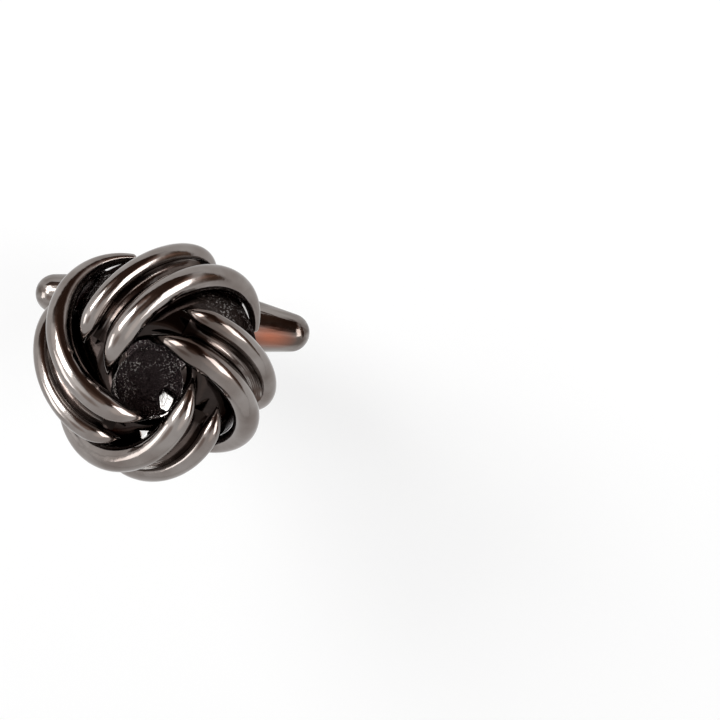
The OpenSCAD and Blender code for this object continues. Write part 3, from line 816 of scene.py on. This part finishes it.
def rough_cast():
    """Cast metal: a dark well with grains, a bright rim, painted glints on grains, painted
    highlights on the chip and the dome's facet, and a glossy dome painted near black as shade.
    """
    material, graph = new_metal("rough_cast_metal", CAST_TINT)
    height = graph.axis(graph.coord, "Z")
    away = graph.away(WELL_AT, (1, 1, 0))

    # Masks: 1 in the place that each is named after
    below = graph.step(height, DECK_Z + 0.06, DECK_Z + 0.02)
    in_well = graph.times(below, graph.step(away, WELL_R + 0.2, WELL_R + 0.1))
    bevel_z, bevel_r = DECK_Z - RIM_BEVEL, WELL_RIM_R + RIM_BEVEL
    rim = graph.times(below, graph.step(height, bevel_z - 0.02, bevel_z + 0.02),
                      graph.step(away, WELL_RIM_R - 0.04, WELL_RIM_R),
                      graph.step(away, bevel_r + 0.03, bevel_r + 0.01))
    chip = graph.times(graph.within(CHIP.corners),
                       graph.step(height, WELL_FLOOR_Z + 0.2, WELL_FLOOR_Z + 0.3))
    facet_highlight = graph.times(graph.within(BRIGHT_FACET.corners), graph.step(height, DECK_Z - 0.1, DECK_Z))
    ragged = graph.maths("MULTIPLY_ADD", graph.noise(scale=0.7, detail=5, rough=0.65),
                         RAGGED_W * MM, height)
    side = graph.times(graph.step(ragged, SIDE_TOP, SIDE_FULL), SIDE_SHARE)

    # Colour of the well with painted glints and the chip's painted highlight, then of the dome:
    # painted shade, with painted glints low on its sides and its facet's painted highlight
    tone = graph.noise(scale=1.6, detail=5, rough=0.7)
    # Painted glints: bright specks of base colour, in patches
    grains = graph.ramp(graph.noise(scale=7, detail=2), 0.55, 0.63)
    patches = graph.ramp(graph.noise(scale=0.8, detail=3), 0.42, 0.54, 0.05, 1)
    bright = graph.times(grains, patches)
    pits = graph.ramp(graph.noise(scale=8, detail=3, rough=0.6), 0.36, 0.46)
    well_tone = graph.mix(bright, graph.mix(tone, WELL_DARK, WELL_LIGHT), WELL_GLINTS)
    # Painted highlight: the chip is brighter than the well
    well_tone = graph.mix(chip, well_tone, graph.mix(pits, CHIP_HIGHLIGHT_LOW, CHIP_HIGHLIGHT_HIGH))
    # Painted shade: the dome is near black
    dome_tone = graph.mix(tone, DOME_SHADE_DARK, DOME_SHADE_LIGHT)
    dome_tone = graph.mix(graph.times(bright, side), dome_tone, SIDE_GLINTS)
    # Painted highlight: the dome's facet is near white
    dome_tone = graph.mix(facet_highlight, dome_tone, FACET_HIGHLIGHT_TONE)
    colour = graph.mix(in_well, dome_tone, well_tone)

    # Full relief in the well, little on the chip, some on the sides, none on the dome
    dull = graph.times(in_well, graph.ramp(chip, 0, 1, 1, 0.1))
    cast = graph.times(graph.mix(in_well, side, WHITE), graph.ramp(chip, 0, 1, 1, CHIP_CALM))
    grain = graph.times(graph.noise(scale=5, rough=0.7), cast, below)
    relief = graph.bump(grain, depth=0.16, strength=1)
    soft = graph.noise(scale=1.1, detail=3)
    graph.shade({
        "Base Color": graph.mix(rim, colour, RIM_TONE),
        "Roughness": graph.ramp(dull, 0, 1, *CAST_ROUGH),
        "Normal": graph.bump(soft, depth=0.05, strength=0.4, before=relief),
    })
    return material


def toggle_metal():
    """The gunmetal of the toggle: drawn along its length, with a painted warm reflection near its
    right end.
    """
    material, graph = new_metal("toggle_gunmetal")
    drawn = graph.vector("MULTIPLY", graph.coord, DRAWN)
    tone = graph.ramp(graph.noise(scale=0.9, detail=3, vector=drawn), 0.38, 0.62)
    # Painted warm reflection: a reddish patch near the right end, streaked along the length
    reflection_streaks = graph.ramp(graph.noise(scale=0.6, detail=2, vector=drawn), 0.35, 0.55, 0.3, 1)
    reach = graph.ramp(graph.away(WARM_REFLECTION_AT, WARM_REFLECTION_SHAPE), 1.05 * MM, 0.2 * MM, 0, 0.8)
    plain = graph.mix(tone, TOGGLE_DARK, TOGGLE_LIGHT)
    lines = graph.bump(graph.noise(scale=1.8, detail=2, vector=drawn), depth=0.09, strength=0.6)
    graph.shade({
        "Base Color": graph.mix(graph.times(reach, reflection_streaks), plain, PAINTED_WARM_REFLECTION),
        "Roughness": graph.ramp(graph.noise(scale=1.3, detail=5), 0.3, 0.7, *TOGGLE_ROUGH),
        "Normal": fine_grain(graph, lines),
    })
    return material


def spring_steel():
    """Rolled strip: pale, with a fine grain along its length."""
    material, graph = new_metal("spring_strip")
    grain = graph.noise(scale=12, rough=0.6, vector=graph.vector("MULTIPLY", graph.coord, ROLLED))
    graph.shade({
        "Base Color": graph.mix(grain, STRIP_DARK, STRIP_LIGHT),
        "Roughness": graph.ramp(grain, 0.3, 0.7, *STRIP_ROUGH),
        "Normal": graph.bump(grain, depth=0.006, strength=0.4),
    })
    return material


# ---------------------------------------------------------------- stage, light and camera

# The photograph's view: the part's own axes in the camera's terms, right, down and ahead
PIXELS = 720
FOCAL_PX = 2230
AXIS_PX = (360, 357)
SEEN_Z = Vector((0.005, 0.235, -0.972))
SEEN_TURN = math.radians(10)
# A point of the part, its place in the photograph and its distance ahead of the camera
AIM = Vector((0, 0, 3.6))
AIM_PX = (156.3, 360.2)
AIM_DEPTH = FOCAL_PX / 15.6
SENSOR_W = 36

# Soft tones of the studio that the metal mirrors, by their bearing in the view: angle from the
# camera's axis, angle round it from the right, reach of the full tone and of its edge, colour
SHADE = (0.075, 0.04, 0.027)
RUST = (0.5, 0.3, 0.22)
STUDIO = (
    (52, 168, 8, 44, (1.7, 1.69, 1.68)),
    (60, -4, 6, 34, (1.5, 1.47, 1.45)),
    (45, -40, 4, 26, (1.4, 1.34, 1.3)),
    (42, 214, 3, 22, (0.62, 0.54, 0.5)),
    (44, 50, 18, 34, RUST), (72, 92, 22, 38, RUST), (92, 8, 14, 30, RUST),
    (79, 120, 5, 22, SHADE), (74, 99, 12, 28, SHADE), (66, 80, 13, 29, SHADE),
    (54, 66, 14, 29, SHADE), (40, 56, 13, 27, SHADE), (30, 30, 7, 20, SHADE),
    (19, 75, 9, 22, (0.16, 0.1, 0.075)), (7, 60, 4, 17, (0.45, 0.34, 0.29)),
    (92, 24, 6, 24, (0.16, 0.1, 0.07)), (92, -8, 6, 24, (0.16, 0.1, 0.07)),
)
# Level of the plain light that falls on what isn't a mirror
PLAIN_LEVEL = 0.3
# Lamps: name, bearing, size in metres and radiance, all at the same distance in metres
LAMPS = (
    ("lamp_upper_left", (43, 143), (0.23, 0.16), 11),
    ("lamp_left", (72, 186), (0.2, 0.14), 3.4),
    ("lamp_right", (55, -2), (0.28, 0.17), 6),
)
LAMP_AWAY = 0.4

# The floor lies this far under the nose of the folded toggle
FLOOR_GAP = 0.2
FLOOR_Z = -(POST_LEN + TOGGLE_LEN / 2 + FLOOR_GAP)
FLOOR_HALF = 1500
FLOOR_DARK, FLOOR_LIGHT, FLOOR_ROUGH = (0.93, 0.93, 0.93), (0.95, 0.95, 0.95), 0.75
# Share of plain white in what the camera and the metal see of the floor
FLOOR_GLOW = 0.65


def view_axes():
    """The camera's right, down and ahead, in the part's coordinates."""
    z = SEEN_Z.normalized()
    x = Vector((math.cos(SEEN_TURN), math.sin(SEEN_TURN), 0))
    x = (x - z * x.dot(z)).normalized()
    y = z.cross(x)
    return tuple(Vector((x[i], y[i], z[i])) for i in range(3))


def bearing(away, round_):
    """Fixed direction, given by its angles in the photograph's view: from its axis and round it."""
    right, down, ahead = view_axes()
    a, b = math.radians(away), math.radians(round_)
    return (right * math.cos(b) - down * math.sin(b)) * math.sin(a) - ahead * math.cos(a)


def white_world():
    """White to the camera. The metal mirrors it too, with the studio's soft tones in it."""
    world = bpy.data.worlds.new("studio")
    bpy.context.scene.world = world
    world.use_nodes = True
    world.node_tree.nodes.clear()
    graph = Graph(world.node_tree, "Generated")
    colour = WHITE
    for away, round_, full, edge, tone in STUDIO:
        facing = graph.vector("DOT_PRODUCT", graph.coord, bearing(away, round_))
        near = graph.ramp(facing, math.cos(math.radians(edge)), math.cos(math.radians(full)),
                          kind="SMOOTHSTEP")
        colour = graph.mix(near, colour, tone)
    ray = graph.add("ShaderNodeLightPath").outputs
    mirrored = graph.maths("MAXIMUM", ray["Is Glossy Ray"], ray["Is Transmission Ray"])
    colour = graph.mix(mirrored, (PLAIN_LEVEL,) * 3, colour)
    colour = graph.mix(ray["Is Camera Ray"], colour, WHITE)
    sky = graph.add("ShaderNodeBackground", {"Color": colour})
    graph.add("ShaderNodeOutputWorld", {"Surface": sky.outputs["Background"]})


def add_lamp(name, bearing_deg, size, radiance):
    """Soft rectangular lamp at a bearing in the view, facing the part."""
    lamp = bpy.data.lights.new(name, "AREA")
    lamp.shape = "RECTANGLE"
    lamp.size, lamp.size_y = size
    lamp.energy = radiance * math.pi * size[0] * size[1]
    holder = bpy.data.objects.new(name, lamp)
    bpy.context.scene.collection.objects.link(holder)
    way = bearing(*bearing_deg)
    holder.location = way * LAMP_AWAY
    holder.rotation_euler = way.to_track_quat("Z", "Y").to_euler()


def make_floor():
    """Pale table below the folded toggle, clear when it is seen from below."""
    corners = [(x * FLOOR_HALF, y * FLOOR_HALF, FLOOR_Z)
               for x, y in ((-1, -1), (1, -1), (1, 1), (-1, 1))]
    floor = mesh_piece("table", corners, [(0, 1, 2, 3)])
    if floor.data.polygons[0].normal.z < 0:
        floor.data.flip_normals()
    material, graph = new_material("pale_table")
    tone = graph.mix(graph.noise(scale=0.02, detail=2), FLOOR_DARK, FLOOR_LIGHT)
    shader = graph.shade({"Base Color": tone, "Roughness": FLOOR_ROUGH})
    glow = graph.add("ShaderNodeEmission", {"Strength": 1})
    clear = graph.add("ShaderNodeBsdfTransparent")
    ray = graph.add("ShaderNodeLightPath").outputs
    seen = graph.maths("MAXIMUM", ray["Is Camera Ray"], ray["Is Glossy Ray"])
    top = graph.mix_shaders(graph.times(seen, FLOOR_GLOW), shader.outputs["BSDF"],
                            glow.outputs["Emission"])
    from_below = graph.add("ShaderNodeNewGeometry").outputs["Backfacing"]
    surface = graph.mix_shaders(from_below, top, clear.outputs["BSDF"])
    graph.fill(graph.nodes["Material Output"], {"Surface": surface})
    dress(floor, material)


def make_camera():
    """The photograph's camera, placed so that the aim point falls on its pixel."""
    right, down, ahead = view_axes()
    offset = (right * ((AIM_PX[0] - AXIS_PX[0]) / FOCAL_PX)
              + down * ((AIM_PX[1] - AXIS_PX[1]) / FOCAL_PX) + ahead) * AIM_DEPTH
    spot = (AIM - offset) * MM
    data = bpy.data.cameras.new("view")
    data.sensor_width = SENSOR_W
    data.lens = FOCAL_PX / PIXELS * SENSOR_W
    data.shift_y = (AXIS_PX[1] - PIXELS / 2) / PIXELS
    data.clip_start = 0.01
    camera = bpy.data.objects.new("view", data)
    bpy.context.scene.collection.objects.link(camera)
    turn = Matrix((right, -down, -ahead)).transposed().to_4x4()
    camera.matrix_world = Matrix.Translation(spot) @ turn
    bpy.context.scene.camera = camera


# ---------------------------------------------------------------- build

strands = make_strands()
webs = make_webs()
core = make_core()
shells = make_toggle()

polished = gunmetal()
for piece in strands:
    dress(piece, polished)
for node in ("back_plate", "post_frame", "frame_rivet", "hinge_pin"):
    dress(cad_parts[node], polished)
drawn = toggle_metal()
for piece in shells:
    dress(piece, drawn)
valley = web_metal()
for piece in webs:
    dress(piece, valley)
dress(core, rough_cast())
dress(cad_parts["detent_spring"], spring_steel())

make_floor()
white_world()
for lamp in LAMPS:
    add_lamp(*lamp)
bpy.context.scene.view_settings.view_transform = "Standard"
make_camera()
